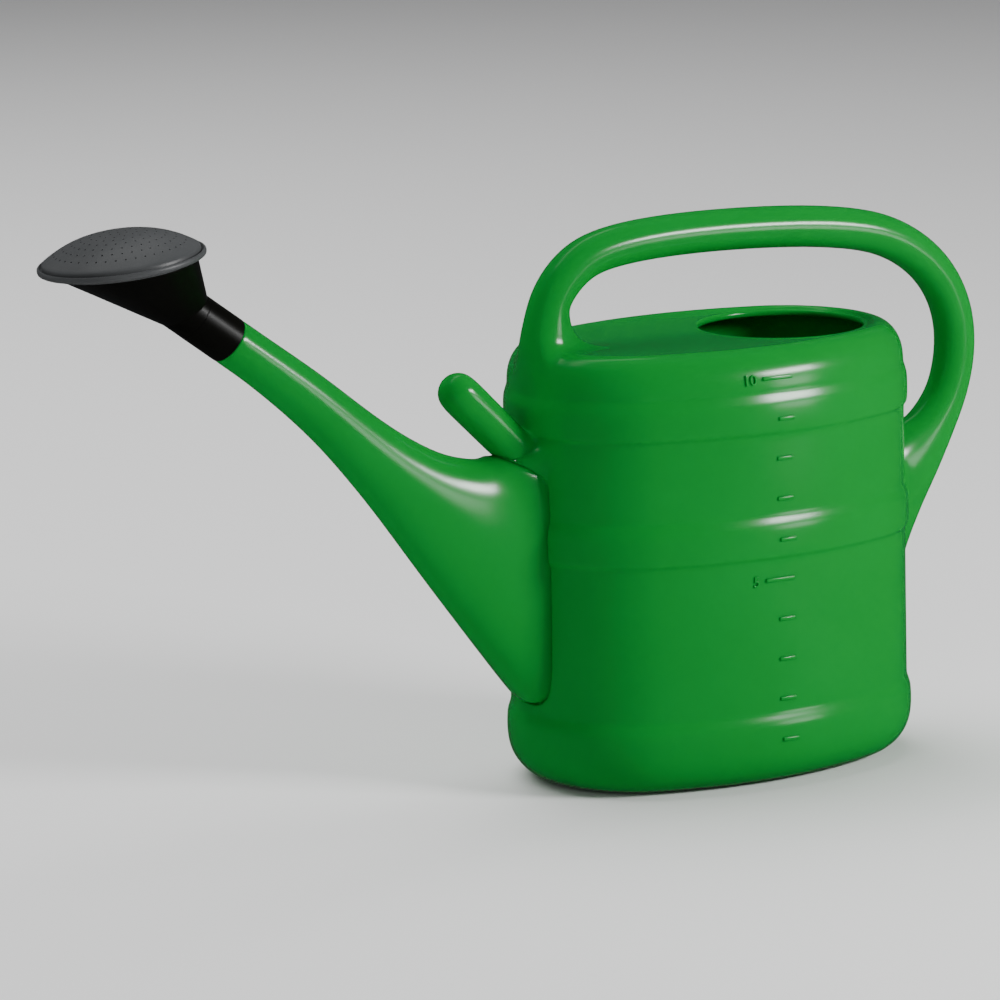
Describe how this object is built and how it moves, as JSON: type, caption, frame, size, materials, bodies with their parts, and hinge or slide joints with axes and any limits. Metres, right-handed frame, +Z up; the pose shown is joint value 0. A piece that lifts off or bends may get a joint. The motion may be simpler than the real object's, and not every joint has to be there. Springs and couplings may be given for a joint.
{
  "type": "watering can",
  "caption": "Oval blow-moulded watering can with a hollow bow handle, a long rising spout, raised litre marks, a parking peg and a push-on domed rose.",
  "frame": {"origin": "centre of the tank's flat base, on the surface it stands on", "axes": "+Z up, spout towards -X, back of the handle towards +X, Y = 0 is the plane of symmetry"},
  "size_m": [0.667, 0.1873, 0.3813],
  "materials": {
    "can_green": "semi-gloss blow-moulded polyethylene",
    "rose_black": "smooth black polyethylene",
    "rose_grey": "fine matte moulded plastic"
  },
  "bodies": {
    "can": {"tank_body": "can_green", "tank_shoulder": "can_green", "filler_mouth": "can_green", "volume_marks": "can_green", "spout": "can_green", "spout_spigot": "can_green", "rose_peg": "can_green", "handle_grip": "can_green", "handle_foot": "can_green"},
    "rose_sleeve": {"rose_neck": "rose_black"},
    "rose_head": {"rose_funnel": "rose_black", "rose_face": "rose_grey"}
  },
  "joints": [
    {"name": "rose_pull", "type": "slide", "parent": "can", "child": "rose_sleeve", "axis": [-0.8039, 0, 0.5948], "range_m": [0, 0.03]},
    {"name": "rose_turn", "type": "hinge", "parent": "rose_sleeve", "child": "rose_head", "pos_m": [-0.341, 0, 0.308], "axis": [-0.8039, 0, 0.5948], "continuous": true}
  ]
}
